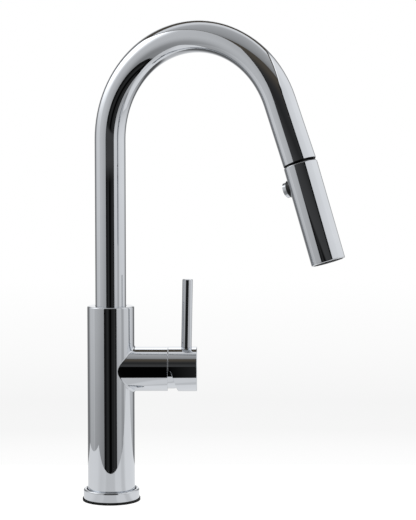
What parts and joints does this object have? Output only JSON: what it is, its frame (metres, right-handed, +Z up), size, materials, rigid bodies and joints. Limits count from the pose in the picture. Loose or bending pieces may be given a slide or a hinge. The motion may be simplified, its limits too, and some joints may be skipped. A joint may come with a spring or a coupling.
{
  "type": "pull-down kitchen faucet",
  "caption": "Tall single-lever sink mixer: round column, side lever on a hub, high arched swivel spout and a docked pull-down spray head with a button.",
  "frame": {"origin": "centre of the base gasket underside, on the deck surface", "axes": "+Z up along the column and the spout swivel axis; +X along the handle hub; -Y towards the user"},
  "size_m": [0.2458, 0.1618, 0.4628],
  "materials": {
    "chrome": "mirror-bright chrome plate",
    "black_rubber": "matt black moulded rubber",
    "white_acetal": "smooth white acetal",
    "black_plastic": "fine satin black moulding",
    "grey_plastic": "satin grey moulding",
    "dark_face": "satin dark grey moulding",
    "brass": "machined brass",
    "ceramic": "lapped alumina",
    "steel": "plain turned steel",
    "hose_braid": "tight black nylon braid",
    "silicone": "soft dark grey silicone"
  },
  "bodies": {
    "body": {"base_gasket": "black_rubber", "base_ring": "chrome", "base_insert": "brass", "column_shell": "chrome", "hub_shell": "chrome", "valve_body": "brass", "cartridge_base": "grey_plastic", "cartridge_seals": "black_rubber", "cartridge_housing": "grey_plastic", "fixed_disc": "ceramic", "cartridge_nut": "brass", "cartridge_dome": "chrome", "upper_bush": "white_acetal", "lower_bush": "white_acetal", "swivel_housing": "brass", "retaining_screw": "steel"},
    "temperature_carrier": {"stem_carrier": "grey_plastic", "stem_pin": "steel"},
    "disc_slide": {"moving_disc": "ceramic", "disc_carrier": "grey_plastic"},
    "handle": {"cartridge_stem": "brass", "handle_cap": "chrome", "lever_rod": "chrome", "handle_set_screw": "steel"},
    "spout": {"spout_foot": "brass", "spout_tube": "chrome", "docking_collar": "black_plastic", "dock_gasket": "black_rubber", "spray_hose": "hose_braid", "hose_tail_ferrule": "steel", "hose_tail_nipple": "brass"},
    "hose_end": {"hose_head_ferrule": "steel", "ball_fitting": "brass"},
    "spray_head": {"head_shell": "chrome", "dock_spigot": "black_plastic", "ball_seal": "black_rubber", "waterway": "grey_plastic", "check_valve": "white_acetal", "button_bezel": "black_plastic", "button_spring": "steel", "spray_nozzles": "silicone", "spray_faceplate": "dark_face", "aerator": "grey_plastic"},
    "button": {"spray_button": "chrome", "diverter_spool": "brass", "spool_seals": "black_rubber"}
  },
  "joints": [
    {"name": "spout_swivel", "type": "hinge", "parent": "body", "child": "spout", "pos_m": [0, 0, 0.17], "axis": [0, 0, 1], "continuous": true},
    {"name": "handle_temperature", "type": "hinge", "parent": "body", "child": "temperature_carrier", "pos_m": [0.06, 0, 0.1291], "axis": [1, 0, 0], "range_deg": [-45, 45]},
    {"name": "handle_flow", "type": "hinge", "parent": "temperature_carrier", "child": "handle", "pos_m": [0.06, 0, 0.1291], "axis": [0, 1, 0], "range_deg": [0, 24]},
    {"name": "mixing_disc_slide", "type": "slide", "parent": "temperature_carrier", "child": "disc_slide", "axis": [0, 0, 1], "range_m": [0, 0.0058]},
    {"name": "spray_pull_out", "type": "slide", "parent": "spout", "child": "hose_end", "axis": [0.2691, -0.1569, -0.9502], "range_m": [0, 0.4], "stiffness_N_per_m": 8, "springref_m": -0.6, "deforming": ["spray_hose"]},
    {"name": "head_spin", "type": "hinge", "parent": "hose_end", "child": "spray_head", "pos_m": [0.17983, -0.10487, 0.32251], "axis": [0.2691, -0.1569, -0.9502], "continuous": true},
    {"name": "spray_button_press", "type": "slide", "parent": "spray_head", "child": "button", "axis": [0.8209, -0.4787, 0.3115], "range_m": [0, 0.002], "stiffness_N_per_m": 600, "springref_m": -0.002, "deforming": ["button_spring"]}
  ],
  "couplings": [
    {"joint": "mixing_disc_slide", "follows": "handle_flow", "m_per_rad": 0.013593}
  ]
}
